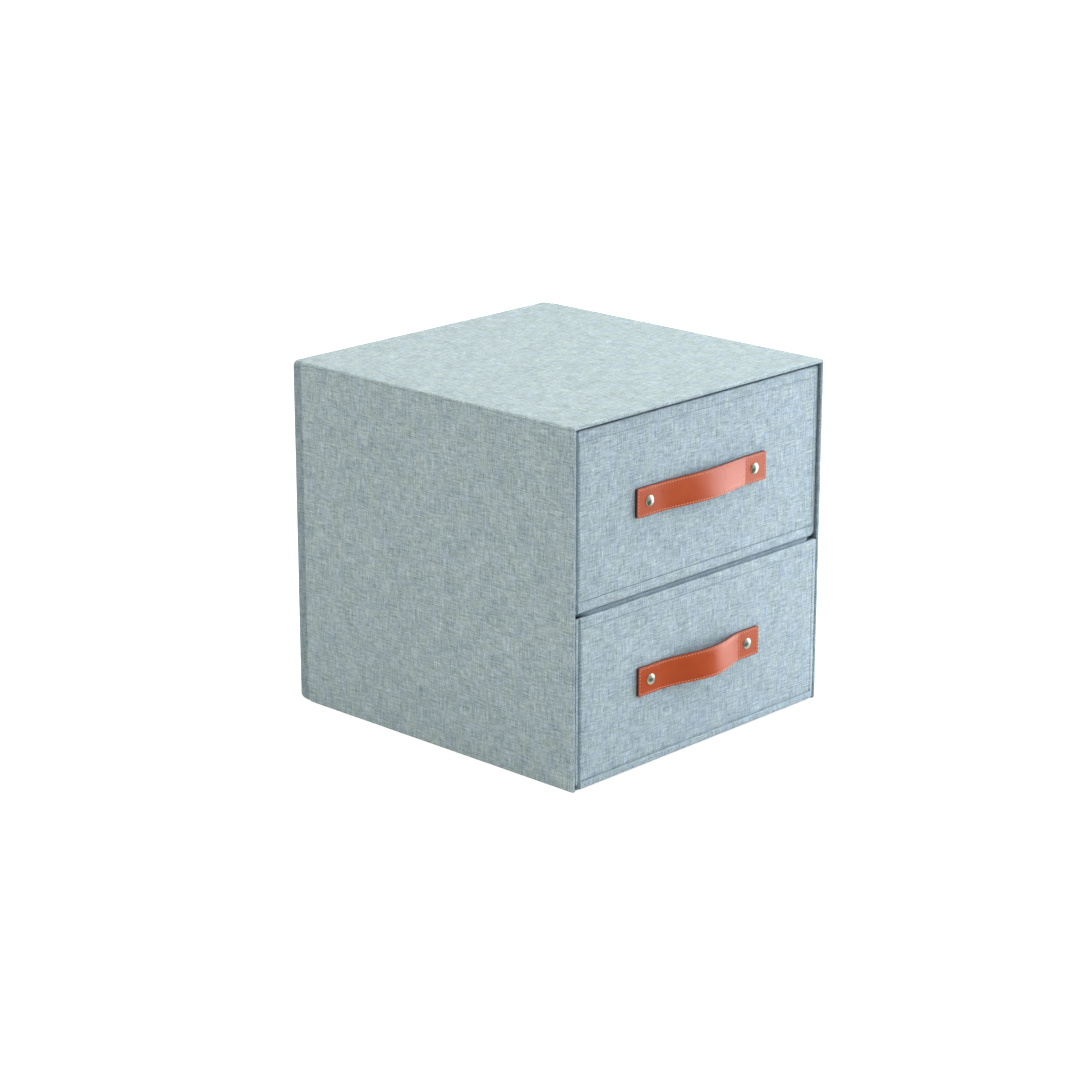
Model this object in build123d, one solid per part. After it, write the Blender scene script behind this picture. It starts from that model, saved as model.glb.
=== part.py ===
from build123d import *
import math
import os

# Two-drawer file box: fabric-covered boards, two loose drawers, a leather strap handle on each.
# Millimetres. +Z is up and the drawers open towards -Y.
# The origin is the centre of the case's underside.

# ---- sheet materials -------------------------------------------------------------------------
LINEN = 0.5              # outer linen
BOARD = 2.0              # stiff grey board
LINING = 0.5             # inner cloth
WALL = LINEN + BOARD + LINING

# ---- case ------------------------------------------------------------------------------------
CASE_W = 305.0           # across the front
CASE_D = 320.0           # front to back
CASE_H = 298.0           # floor to top
CASE_R = 5.5             # cloth-turned outer corners
CASE_HEM = 25.0          # linen turned in round the mouth
UNDER_HEM = 12.0         # linen turned in under the base
LOWER_BAY_H = 140.4      # clear height of the lower bay

# ---- shelf between the drawers ---------------------------------------------------------------
SHELF_BOARD = 1.6
SHELF_SETBACK = 4.0      # behind the case's front edge, in the upper drawer's shade
SHELF_CORNER_R = 18.0    # rounded front corners, seen as dark slots at both ends
SHELF_RIM = 0.7          # bevel of the cloth turned round the shelf's front edge

# ---- drawers ---------------------------------------------------------------------------------
UPPER_RECESS = 2.8       # upper drawer's front behind the case's mouth; the lower one is flush
DRAWER_R = 5.0           # bottom and back corners
DRAWER_HEM = 14.0        # linen turned in over the rim
SIDE_GAP = 0.8           # each side of a drawer
RUN_GAP = 0.3            # under a drawer
STOP_GAP = 0.5           # behind a drawer pushed home
UPPER_TOP_GAP = 2.2      # over the upper drawer
LOWER_TOP_GAP = 0.5      # over the lower drawer
LIP_GROUND = 1.0         # lower drawer's front to the floor
RIM_R = 1.4              # rounded cloth rims, on their outer edge
EDGE_REVEAL = 1.0        # folded cloth between a board's edge and a rim
SEAM_W = 0.8             # stitched groove round each drawer front
SEAM_DEPTH = 0.25
SEAM_SIDE = 5.0          # groove to the front's side edges
SEAM_TOP = 9.0           # groove to the front's top edge
UPPER_SEAM_FOOT = 9.0    # groove to the front's bottom edge
LOWER_SEAM_FOOT = 7.0

# ---- strap handles ---------------------------------------------------------------------------
STRAP_W = 24.0
STRAP_PLY = 1.4          # each of two leather plies
STRAP_CORNER_R = 1.2
STRAP_TAB = 14.5         # rivet to the strap's end
STRAP_FLAT = 12.0        # rivet to where the strap leaves the drawer
STITCH_W = 0.6           # channel that the stitches lie in
STITCH_DEPTH = 0.2
STITCH_INSET = 1.9       # channel to the strap's edge
STITCH_CROSS = 10.0      # rivet to the line of stitches across the strap

# pitch is rivet to rivet, bow how far the strap stands off, crown the bow's top to the right of
# the strap's middle, and x and z the middle's place. The lower strap is riveted a little to the
# left with its rivets closer, so it bows more.
UPPER_STRAP = {"pitch": 129.0, "bow": 6.0, "crown": 3.0, "x": 0.0, "z": 222.0}
LOWER_STRAP = {"pitch": 120.0, "bow": 10.5, "crown": 8.0, "x": -4.0, "z": 73.7}

# ---- rivets ----------------------------------------------------------------------------------
CAP_R = 4.7
CAP_H = 2.0
CAP_SKIN = 0.5
SHANK_R = 2.1
FLANGE_R = 4.5
FLANGE_T = 0.8
HOLE_CLEARANCE = 0.05

# ---- places that follow from the sizes above ---------------------------------------------------
FRONT = -CASE_D / 2
BACK = CASE_D / 2
BACK_INSIDE = BACK - WALL
INNER_HALF = CASE_W / 2 - WALL
SHELF_T = SHELF_BOARD + 2 * LINEN
SHELF_Z = WALL + LOWER_BAY_H
DRAWER_HALF = INNER_HALF - SIDE_GAP
LOWER_FRONT = FRONT
UPPER_FRONT = FRONT + UPPER_RECESS
DRAWER_D = BACK_INSIDE - STOP_GAP - UPPER_FRONT
LIP_SETBACK = WALL + STOP_GAP
CASE_BOARD_HALF = CASE_W / 2 - CASE_R
PANEL_HOLE_R = SHANK_R + HOLE_CLEARANCE
PROUD = 1.0              # how far a cutting tool runs past what it cuts
SAME = 0.01              # two places nearer than this are one


def span_box(x, y, z):
    """A plain box between three (low, high) pairs."""
    centre = Pos((x[0] + x[1]) / 2, (y[0] + y[1]) / 2, (z[0] + z[1]) / 2)
    return centre * Box(x[1] - x[0], y[1] - y[0], z[1] - z[0])


def edges_at(shape, axis, place):
    """The edges that lie wholly at one place along an axis."""
    at = {Axis.X: "X", Axis.Y: "Y", Axis.Z: "Z"}[axis]
    found = ShapeList()
    for edge in shape.edges():
        box = edge.bounding_box()
        low, high = getattr(box.min, at), getattr(box.max, at)
        if abs(low - place) < SAME and abs(high - place) < SAME:
            found.append(edge)
    return found


# ---- case ------------------------------------------------------------------------------------
def case_block(inset, front):
    """The case's outside drawn in by inset, with the edges that run front to back rounded."""
    half = CASE_W / 2 - inset
    block = span_box((-half, half), (front, BACK - inset), (inset, CASE_H - inset))
    return fillet(block.edges().filter_by(Axis.Y), CASE_R - inset)


def lip_notch():
    """The room that the lower drawer's front needs in the case's bottom front edge."""
    return span_box(
        (-INNER_HALF, INNER_HALF), (FRONT - PROUD, FRONT + LIP_SETBACK), (-PROUD, CASE_R))


def case_boards():
    """Five loose boards that stiffen the case's cloth."""
    half = CASE_W / 2
    mouth = FRONT + EDGE_REVEAL
    back = BACK - CASE_R
    upright = (CASE_R, CASE_H - CASE_R)
    flat = (-CASE_BOARD_HALF, CASE_BOARD_HALF)
    skin = (LINEN, LINEN + BOARD)
    return {
        "case_top_board": span_box(flat, (mouth, back), (CASE_H - skin[1], CASE_H - skin[0])),
        "case_bottom_board": span_box(flat, (FRONT + LIP_SETBACK + LINEN, back), skin),
        "case_left_board": span_box((skin[0] - half, skin[1] - half), (mouth, back), upright),
        "case_right_board": span_box((half - skin[1], half - skin[0]), (mouth, back), upright),
        "case_back_board": span_box(flat, (BACK - skin[1], BACK - skin[0]), upright),
    }


def case_nodes():
    boards = case_boards()
    form = case_block(0, FRONT)
    form = fillet(edges_at(form, Axis.Y, BACK), CASE_R)
    form = fillet(edges_at(form, Axis.Y, FRONT), RIM_R)
    wall = form - case_block(WALL, FRONT - PROUD)
    hem_end = FRONT + CASE_HEM
    lining_room = case_block(LINEN + BOARD, hem_end)
    lining = lining_room - case_block(WALL, hem_end - PROUD)
    cloth_half = CASE_BOARD_HALF - UNDER_HEM
    base_cloth = span_box(
        (-cloth_half, cloth_half),
        (FRONT + LIP_SETBACK + UNDER_HEM, BACK - CASE_R - UNDER_HEM),
        (0, LINEN))
    wrap = wall - lip_notch() - lining_room - base_cloth
    for board in boards.values():
        wrap -= board
    return boards | {"case_linen_wrap": wrap, "case_lining": lining, "case_base_cloth": base_cloth}


def shelf_slab(inset, level):
    """The shelf's form between two heights, drawn in by inset, with rounded front corners."""
    half = INNER_HALF - inset
    slab = span_box((-half, half), (FRONT + SHELF_SETBACK + inset, BACK_INSIDE - inset), level)
    corners = slab.edges().filter_by(Axis.Z).sort_by(Axis.Y)[:2]
    return fillet(corners, SHELF_CORNER_R - inset)


def shelf_nodes():
    """The shelf that the upper drawer runs on: a board in a linen sleeve."""
    board = shelf_slab(EDGE_REVEAL, (SHELF_Z + LINEN, SHELF_Z + LINEN + SHELF_BOARD))
    sleeve = shelf_slab(0, (SHELF_Z, SHELF_Z + SHELF_T))
    curves_end = FRONT + SHELF_SETBACK + SHELF_CORNER_R + SAME
    rims = sleeve.edges().filter_by(lambda edge: edge.bounding_box().max.Y < curves_end)
    sleeve = chamfer(rims.filter_by(Axis.Z, reverse=True), SHELF_RIM)
    return {"shelf_linen_sleeve": sleeve - board, "shelf_board": board}


# ---- drawers ---------------------------------------------------------------------------------
def tub_block(inset, front, floor, top):
    """A drawer's body drawn in by inset, with its upright back corners rounded."""
    half = DRAWER_HALF - inset
    block = span_box((-half, half), (front + inset, front + DRAWER_D - inset), (floor + inset, top))
    return fillet(block.edges().filter_by(Axis.Z).sort_by(Axis.Y)[2:], DRAWER_R - inset)


def tub_form(front, floor, top):
    """A drawer's outside: its bottom edges are rounded too, but for the front one."""
    block = tub_block(0, front, floor, top)
    return fillet(edges_at(block, Axis.Z, floor).sort_by(Axis.Y)[1:], DRAWER_R)


def front_plate(front, foot, top):
    """A drawer's front panel, with rounded bottom corners."""
    plate = span_box((-DRAWER_HALF, DRAWER_HALF), (front, front + WALL), (foot, top))
    corners = plate.edges().filter_by(Axis.Y).sort_by(Axis.Z)[:2]
    return fillet(corners, DRAWER_R)


def seam_groove(front, foot, top, seam_foot):
    """The stitched groove that runs round a drawer front."""
    half = DRAWER_HALF - SEAM_SIDE
    low, high = foot + seam_foot, top - SEAM_TOP
    depth = (front - PROUD, front + SEAM_DEPTH)
    outer = span_box((-half, half), depth, (low, high))
    inner = span_box((SEAM_W - half, half - SEAM_W), depth, (low + SEAM_W, high - SEAM_W))
    return outer - inner


def drawer_boards(prefix, front, floor, foot, top):
    """The five boards inside a drawer's cloth."""
    half = DRAWER_HALF
    skin = (LINEN, LINEN + BOARD)
    back = front + DRAWER_D
    rim = top - EDGE_REVEAL
    inside = (front + skin[1], back - DRAWER_R)
    low = floor + DRAWER_R
    face_half = half - EDGE_REVEAL
    face = span_box((-face_half, face_half), (front + skin[0], front + skin[1]), (foot + EDGE_REVEAL, rim))
    face = fillet(face.edges().filter_by(Axis.Y).sort_by(Axis.Z)[:2], DRAWER_R - EDGE_REVEAL)
    flat = (DRAWER_R - half, half - DRAWER_R)
    return {
        prefix + "_front_board": face,
        prefix + "_back_board": span_box(flat, (back - skin[1], back - skin[0]), (low, rim)),
        prefix + "_left_board": span_box((skin[0] - half, skin[1] - half), inside, (low, rim)),
        prefix + "_right_board": span_box((half - skin[1], half - skin[0]), inside, (low, rim)),
        prefix + "_floor_board": span_box(flat, inside, (floor + skin[0], floor + skin[1])),
    }


def rivet_axes(strap):
    """Where a strap's two rivets stand, as (x, z)."""
    return [(strap["x"] + side * strap["pitch"] / 2, strap["z"]) for side in (-1, 1)]


def rivet_hole(x, z, front):
    """A cutting rod through a drawer's front and its strap."""
    reach = WALL + 2 * STRAP_PLY + PROUD
    return Pos(x, front, z) * Rot(90, 0, 0) * Cylinder(PANEL_HOLE_R, 2 * reach)


def drawer_nodes(prefix, front, floor, foot, top, seam_foot, strap):
    boards = drawer_boards(prefix, front, floor, foot, top)
    cavity = tub_block(WALL, front, floor, top + PROUD)
    form = tub_form(front, floor, top) + front_plate(front, foot, top)
    rims = edges_at(form, Axis.Z, top)
    rims += [edge for edge in edges_at(form, Axis.Y, front) if edge not in rims]
    tub = fillet(rims, RIM_R) - cavity
    lining_room = tub_block(LINEN + BOARD, front, floor, top - DRAWER_HEM)
    lining = lining_room - cavity
    cover = tub - lining_room - seam_groove(front, foot, top, seam_foot)
    for board in boards.values():
        cover -= board
    front_board = prefix + "_front_board"
    for x, z in rivet_axes(strap):
        rod = rivet_hole(x, z, front)
        cover -= rod
        lining -= rod
        boards[front_board] -= rod
    return boards | {prefix + "_linen_cover": cover, prefix + "_lining": lining}


# ---- strap handles ---------------------------------------------------------------------------
def strap_line(strap, offset):
    """A line along the strap in plan, at one distance from its back face.

    x runs along the strap from its middle and y stands off the drawer. Flat tabs run into two
    pairs of tangent arcs, which meet at the crown.
    """
    end = strap["pitch"] / 2 + STRAP_TAB
    leave = strap["pitch"] / 2 - STRAP_FLAT
    bow = strap["bow"]
    top = (strap["crown"], bow + offset)
    pieces = []
    for side in (-1, 1):
        reach = leave - side * strap["crown"]
        radius = (reach ** 2 + bow ** 2) / (4 * bow)
        slope = math.asin(reach / (2 * radius))
        root = (side * leave, offset)
        turn = (
            side * (leave - reach / 2 + offset * math.sin(slope)),
            bow / 2 + offset * math.cos(slope))
        pieces += [
            Line((side * end, offset), root),
            TangentArc(root, turn, tangent=(-side, 0)),
            TangentArc(turn, top, tangent=(-side * math.cos(slope), math.sin(slope))),
        ]
    return pieces


def strap_slab(strap, front, off, across):
    """A slab that follows the strap, between two (low, high) pairs.

    off is the distance from the drawer's front, and across the place over the strap's width.
    """
    end = strap["pitch"] / 2 + STRAP_TAB
    low, high = off
    outline = strap_line(strap, low) + strap_line(strap, high)
    outline += [Line((side * end, low), (side * end, high)) for side in (-1, 1)]
    plan = Plane((strap["x"], front, strap["z"] + across[1]), x_dir=(1, 0, 0), z_dir=(0, 0, -1))
    return extrude(plan * make_face(outline), across[1] - across[0])


def strap_ply(strap, front, off):
    """One leather ply of a handle, with its corners rounded."""
    ply = strap_slab(strap, front, off, (-STRAP_W / 2, STRAP_W / 2))
    end = strap["pitch"] / 2 + STRAP_TAB
    ends = edges_at(ply, Axis.X, strap["x"] - end) + edges_at(ply, Axis.X, strap["x"] + end)
    return fillet(ends.filter_by(Axis.Y), STRAP_CORNER_R)


def stitch_channel(strap, front):
    """The channel round a strap's face, and across it beside each tab, that stitches lie in."""
    face = 2 * STRAP_PLY
    off = (face - STITCH_DEPTH, face + PROUD)
    depth = (front - 2 * strap["bow"] - off[1], front - off[0])
    ring = []
    for side in (1, -1):
        half = STRAP_W / 2 - STITCH_INSET + side * STITCH_W / 2
        end = strap["pitch"] / 2 + STRAP_TAB - STITCH_INSET + side * STITCH_W / 2
        reach = span_box(
            (strap["x"] - end, strap["x"] + end), depth, (strap["z"] - half, strap["z"] + half))
        ring.append(strap_slab(strap, front, off, (-half, half)) & reach)
    channel = ring[0] - ring[1]
    half = STRAP_W / 2 - STITCH_INSET
    for side in (-1, 1):
        middle = strap["x"] + side * (strap["pitch"] / 2 - STITCH_CROSS)
        channel += span_box(
            (middle - STITCH_W / 2, middle + STITCH_W / 2),
            (front - off[1], front - off[0]),
            (strap["z"] - half, strap["z"] + half))
    return channel


def rivet():
    """A rivet through strap and drawer: its domed cap seats at z = 0, towards +Z.

    Its flat flange seats inside the drawer.
    """
    stack = WALL + 2 * STRAP_PLY
    rise = CAP_H - CAP_SKIN
    dome_r = (CAP_R ** 2 + rise ** 2) / (2 * rise)
    dome = Pos(0, 0, CAP_H - dome_r) * Sphere(dome_r) & Pos(0, 0, CAP_H / 2) * Cylinder(CAP_R, CAP_H)
    shank = Pos(0, 0, -stack / 2) * Cylinder(SHANK_R, stack)
    flange = Pos(0, 0, -stack - FLANGE_T / 2) * Cylinder(FLANGE_R, FLANGE_T)
    return dome + shank + flange


def handle_nodes(prefix, front, strap):
    face = 2 * STRAP_PLY
    backing = strap_ply(strap, front, (0, STRAP_PLY))
    outer = strap_ply(strap, front, (STRAP_PLY, face)) - stitch_channel(strap, front)
    rivets = []
    for x, z in rivet_axes(strap):
        rod = rivet_hole(x, z, front)
        backing -= rod
        outer -= rod
        rivets.append(Pos(x, front - face, z) * Rot(90, 0, 0) * rivet())
    return {
        prefix + "_handle_strap": outer,
        prefix + "_handle_backing": backing,
        prefix + "_rivets": Compound(rivets),
    }


# ---- assembly --------------------------------------------------------------------------------
upper_floor = SHELF_Z + SHELF_T + RUN_GAP
upper_top = CASE_H - WALL - UPPER_TOP_GAP
lower_floor = WALL + RUN_GAP
lower_top = SHELF_Z - LOWER_TOP_GAP

nodes = case_nodes() | shelf_nodes()
nodes |= drawer_nodes(
    "upper", UPPER_FRONT, upper_floor, upper_floor, upper_top, UPPER_SEAM_FOOT, UPPER_STRAP)
nodes |= drawer_nodes(
    "lower", LOWER_FRONT, lower_floor, LIP_GROUND, lower_top, LOWER_SEAM_FOOT, LOWER_STRAP)
nodes |= handle_nodes("upper", UPPER_FRONT, UPPER_STRAP)
nodes |= handle_nodes("lower", LOWER_FRONT, LOWER_STRAP)

os.makedirs("parts", exist_ok=True)
for name, shape in nodes.items():
    export_step(shape, "parts/" + name + ".step")
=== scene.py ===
import math

import bpy
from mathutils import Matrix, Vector, noise


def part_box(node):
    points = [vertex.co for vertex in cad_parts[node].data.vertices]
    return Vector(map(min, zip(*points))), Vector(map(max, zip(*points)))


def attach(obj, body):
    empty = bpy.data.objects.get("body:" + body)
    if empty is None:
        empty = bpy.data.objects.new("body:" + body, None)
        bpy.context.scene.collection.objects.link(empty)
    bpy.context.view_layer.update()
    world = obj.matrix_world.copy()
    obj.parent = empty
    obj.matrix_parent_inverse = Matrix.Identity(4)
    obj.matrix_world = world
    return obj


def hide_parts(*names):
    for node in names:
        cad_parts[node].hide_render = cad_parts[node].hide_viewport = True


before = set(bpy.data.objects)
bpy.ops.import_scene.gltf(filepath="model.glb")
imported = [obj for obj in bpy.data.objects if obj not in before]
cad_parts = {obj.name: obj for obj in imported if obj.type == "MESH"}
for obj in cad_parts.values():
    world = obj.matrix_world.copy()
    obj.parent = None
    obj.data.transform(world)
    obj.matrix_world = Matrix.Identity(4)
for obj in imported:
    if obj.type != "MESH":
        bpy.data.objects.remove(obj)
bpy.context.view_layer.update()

# Metres throughout; MM turns a size in millimetres into metres.
MM = 0.001
FORWARD, BACKWARD = Vector((0, -1, 0)), Vector((0, 1, 0))

# ---- sizes taken from the frame --------------------------------------------------------------
CASE_LO, CASE_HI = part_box("case_linen_wrap")
LINING_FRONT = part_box("case_lining")[0].y
SHELF_LO, SHELF_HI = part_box("shelf_linen_sleeve")
BASE_LO, BASE_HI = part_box("case_base_cloth")
CASE_W = CASE_HI.x - CASE_LO.x
CASE_H = CASE_HI.z - CASE_LO.z

# ---- sizes of the making ---------------------------------------------------------------------
WALL = 3.0 * MM
LINING_INSET = 2.5 * MM        # board and linen under the lining
TUCK = 0.1 * MM                # hidden surfaces stand this far inside the ones they touch

# The case.
CASE_R = 5.5 * MM              # its rounded back edges
LONG_R = 1.9 * MM              # its long edges, front to back
CORNER_REACH = 18.0 * MM       # their radius grows to CASE_R over this last stretch
MOUTH_R = 1.6 * MM             # outer side of the rolled edge round the mouth
MOUTH_WALL = 2.8 * MM          # the wall's thickness at that edge
MOUTH_DEPTH = 9.0 * MM         # how far in it has grown to WALL
LIP_SETBACK = 3.5 * MM         # room for the lower drawer's front below the mouth
CASE_CREASE_FRONT = 3.2 * MM   # mouth to the crease behind it
CASE_CREASE_BACK = 12.0 * MM   # back to the crease in front of it
CREASE_W = 0.8 * MM            # half a crease's width
CREASE_DEPTH = 0.35 * MM
BACK_CREASE_DEPTH = 0.6 * MM
TOP_CREASE = 0.8 * MM          # crease below the rounding of the top's side edges
TOP_CREASE_DEPTH = 0.5 * MM
BACK_SHADE = 11.6 * MM         # painted shade: darker cloth on the sides, up to the back edges
SHELF_CORNER_R = 18.0 * MM     # the shelf's front corners
SHELF_EDGE_R = 0.6 * MM
SHELF_ROLL = Vector((0, 2.6, 0.3)) * MM  # its cloth hangs this far forward and down
BASE_EDGE_R = 0.2 * MM
SHEET_R = 1.0 * MM             # the other corners of the shelf and the base

# The drawers.
DRAWER_R = 5.0 * MM            # their rounded lower and back edges
RIM_R = 1.4 * MM               # folded cloth rims
BEHIND_FACE = 0.5 * MM         # the other cloth starts this far behind a face
FACE_R = 0.9 * MM              # edges of the faces
FACE_GAP = 0.3 * MM            # a face's cloth stands in from its solid's sides
PILLOW = 1.4 * MM              # how far a face falls back at its left side
PILLOW_RIGHT = 0.5 * MM        # and at its right side
PILLOW_W = 5.0 * MM
EDGE_SHADE = 4.2 * MM          # painted shade: darker cloth at a face's left edge
EDGE_SHADE_RIGHT = 0.8 * MM    # and at its right edge, in a lighter painted shade
SEAM_W = 1.1 * MM              # half the width of the groove that a face's seam lies in
SEAM_DEPTH = 0.35 * MM
SEAM_SIDE = 4.6 * MM           # seam to a face's sides
SEAM_TOP = 9.0 * MM
UPPER_SEAM_FOOT = 9.0 * MM
LOWER_SEAM_FOOT = 7.0 * MM
SEAM_PITCH = 3.4 * MM          # linen thread, stitch to stitch
SEAM_STITCH = 2.4 * MM
SEAM_THREAD = 0.5 * MM
SEAM_LIFT = 0.12 * MM          # its middle stands this far off the groove's floor

# Soft swells, in which the cloth stands off its boards.
CASE_SWELL = 0.15 * MM
TUB_SWELL = 0.1 * MM
SWELL_SIZE = 50.0 * MM
FACE_SWELL = 0.3 * MM
FACE_SWELL_SIZE = 30.0 * MM
FACE_SWELL_FADE = 4.0 * MM     # they die out this close to a face's edges

# The handles.
PLY = 1.4 * MM                 # each of a strap's two plies
PLY_EDGE_R = 0.35 * MM
STRAP_FLAT = 12.0 * MM         # rivet to where the strap leaves the drawer
STRAP_CORNER_R = 1.2 * MM
LEFT_SOFT = 0.9                # how softly a strap leaves the drawer at its left: 0 to 1
STITCH_INSET = 1.5 * MM        # the leather's edge to its stitches
STITCH_PITCH = 3.0 * MM
STITCH_LENGTH = 2.2 * MM
STITCH_THREAD = 0.75 * MM
STITCH_SUNK = 0.1 * MM         # the thread's middle lies this far below the leather's face
CHANNEL_W = 0.5 * MM           # half the width of the channel that the stitches lie in
CHANNEL_DEPTH = 0.15 * MM
CROSS_AT = 10.0 * MM           # rivet to the stitches across the strap
CAP_R = 4.7 * MM
CAP_H = 2.0 * MM
CAP_RIM = 0.5 * MM
FLANGE_R = 4.5 * MM

# ---- mesh fineness ---------------------------------------------------------------------------
CASE_STEP = 5.0 * MM
HEM_STEP = 4.0 * MM
LINING_STEP = 6.0 * MM
TUB_STEP = 5.0 * MM
FACE_STEP = 2.4 * MM
PLY_STEP = 1.2 * MM
CASE_CELLS = (60, 58)          # cells along the two straight stretches of a section
TUB_CELLS = (60, 60)
SHEET_CELLS = (40, 40)
CASE_TIGHTEST_R = 0.4 * MM     # a section's corners get no tighter than this
TUB_TIGHTEST_R = 0.3 * MM
SHEET_TIGHTEST_R = 0.2 * MM
END_INSETS = [k * MM for k in (60, 40, 20, 10)]  # rings over a flat end, from its middle out
LINING_END_INSETS = [k * MM for k in (8, 20, 40)]
LINE_SAMPLES = 200             # chords that a row of stitches is measured by
LINE_NUDGE = 0.002             # part of a row to either side, for its direction
STITCH_SIDES = 8
RIVET_SIDES = 48

# ---- the linen's look ------------------------------------------------------------------------
THREAD_PITCH = 1.0 * MM        # linen threads, centre to centre
LINING_PITCH = 0.8 * MM
YARN_LOW = 0.6                 # a yarn's height where another crosses over it
YARN_APART = 3.37              # step in the noise from one yarn to the next
SLUB_RATE = 150.0              # thick places to the metre
STREAK_RATE = 1000.0           # noise to the metre across a streak
STREAK_LONG_RATE = 60.0        # and along it
STREAK_SLICE = 3.0             # the slices keep one noise from repeating another
CLOUD_RATE = 48.0              # tone that drifts over the cloth
CLOUD_SLICE = 0.35
CLOUD_TONE = 0.1
PATCH_RATE = 70.0              # patches of warmer and cooler yarn
PATCH_SLICE = 5.0
WARM_YARN = (1.02, 1.02, 0.96, 1)
COOL_YARN = (0.97, 0.99, 1.04, 1)
GROOVE_SHADE, RIDGE_HIGHLIGHT = 0.68, 1.1  # painted shade between the yarns, painted light on top of them

# ---- camera ----------------------------------------------------------------------------------
CAMERA_AZIMUTH = math.radians(-46.534)
CAMERA_PITCH = math.radians(17.114)
CAMERA_SENSOR = 36.0           # mm wide
CAMERA_LENS = 102.13           # mm
CAMERA_DISTANCE = 8.6608 * CASE_H
CAMERA_RIGHT = -0.0488 * CASE_H
CAMERA_UP = -0.0247 * CASE_H


# ---- shader helpers --------------------------------------------------------------------------
class Shader:
    """A material's node tree, with short calls for the nodes that these materials use."""

    def __init__(self, name):
        self.material = bpy.data.materials.new(name)
        self.material.use_nodes = True
        self.tree = self.material.node_tree
        self.bsdf = self.tree.nodes["Principled BSDF"]

    def put(self, socket, value):
        if isinstance(value, bpy.types.NodeSocket):
            self.tree.links.new(value, socket)
        else:
            socket.default_value = value

    def node(self, kind, inputs=(), **settings):
        node = self.tree.nodes.new(kind)
        for key, value in settings.items():
            setattr(node, key, value)
        for key, value in dict(inputs).items():
            self.put(node.inputs[key], value)
        return node

    def math(self, operation, *values):
        inputs = dict(enumerate(values))
        return self.node("ShaderNodeMath", inputs, operation=operation).outputs[0]

    def plus(self, first, second):
        return self.math("ADD", first, second)

    def minus(self, first, second):
        return self.math("SUBTRACT", first, second)

    def times(self, first, second):
        return self.math("MULTIPLY", first, second)

    def scaled(self, value, low, high):
        """A 0 to 1 value stretched to low to high."""
        return self.math("MULTIPLY_ADD", value, high - low, low)

    def clamped(self, value):
        return self.node("ShaderNodeClamp", {0: value}).outputs[0]

    def uv(self):
        """u and v in metres, with the threads along them."""
        coords = self.node("ShaderNodeUVMap", uv_map="UVMap").outputs[0]
        split = self.node("ShaderNodeSeparateXYZ", {0: coords})
        return split.outputs[0], split.outputs[1]

    def joined(self, x, y, z=0.0):
        return self.node("ShaderNodeCombineXYZ", {0: x, 1: y, 2: z}).outputs[0]

    def noise(self, vector, scale=1.0, detail=2.0, roughness=0.5):
        inputs = {"Vector": vector, "Scale": scale, "Detail": detail, "Roughness": roughness}
        return self.node("ShaderNodeTexNoise", inputs).outputs["Fac"]

    def mix(self, factor, first, second):
        """Two colours mixed: the node has its colours in sockets 6 and 7, and out in 2."""
        inputs = {0: factor, 6: first, 7: second}
        return self.node("ShaderNodeMix", inputs, data_type="RGBA").outputs[2]

    def bump(self, height, distance):
        inputs = {"Height": height, "Distance": distance, "Strength": 1.0}
        return self.node("ShaderNodeBump", inputs).outputs[0]


def srgb(red, green, blue):
    """An sRGB colour, 0 to 255, as linear values."""
    linear = []
    for value in (red, green, blue):
        part = value / 255
        linear.append(part / 12.92 if part <= 0.04045 else ((part + 0.055) / 1.055) ** 2.4)
    return (*linear, 1.0)


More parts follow.
